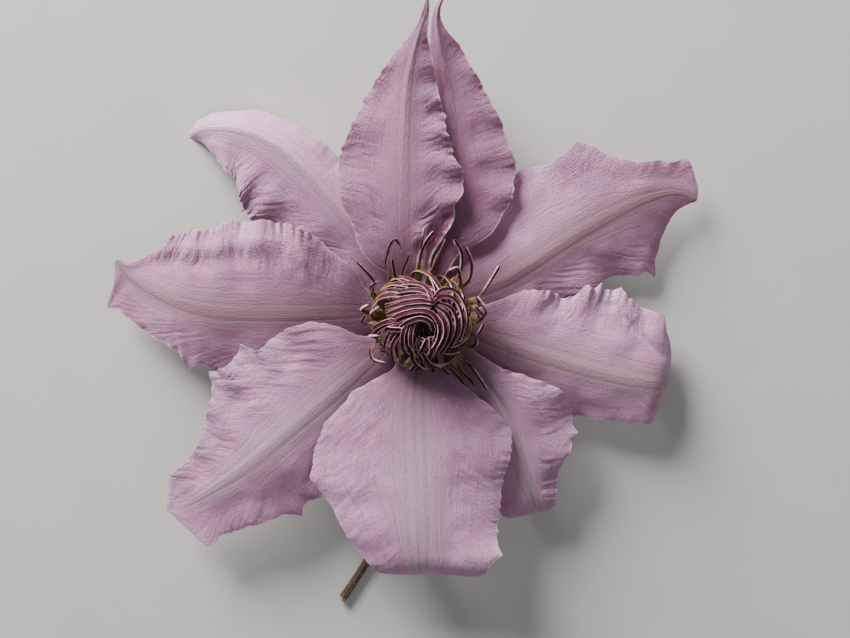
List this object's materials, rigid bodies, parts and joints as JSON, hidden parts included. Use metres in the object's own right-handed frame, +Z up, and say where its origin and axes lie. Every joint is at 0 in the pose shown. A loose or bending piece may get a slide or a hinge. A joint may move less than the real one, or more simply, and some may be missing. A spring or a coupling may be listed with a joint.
{
  "type": "clematis flower",
  "caption": "Open clematis flower with pointed, mauve petal-like tepals round a boss of maroon stamens, picked with a short stalk and lying face up.",
  "frame": {"origin": "on the surface that the flower lies on, under the middle of its box", "axes": "+Z up, along the flower's axis and out of its face; +Y towards the two tepals opposite the stalk; +X to the right when the stalk is at the bottom"},
  "size_m": [0.1598, 0.173, 0.0325],
  "materials": {
    "tepal": "thin mauve-pink petal with a pale greyish bar, fine veins and a crinkled pale edge",
    "petaloid": "thin crinkled magenta petal",
    "stamens": "maroon anthers edged with pale pink, on cream-green filaments",
    "styles": "downy yellow-green styles",
    "stalk": "brownish-green ribbed stalk with short hairs"
  },
  "bodies": {
    "root": {"tepal_top_left": "tepal", "tepal_top_right": "tepal", "tepal_upper_right": "tepal", "tepal_right": "tepal", "tepal_lower_right": "tepal", "tepal_bottom": "tepal", "tepal_lower_left": "tepal", "tepal_left": "tepal", "tepal_upper_left": "tepal", "petaloid_stamen": "petaloid", "stamens": "stamens", "styles": "styles", "stalk_with_receptacle": "stalk"}
  },
  "joints": []
}
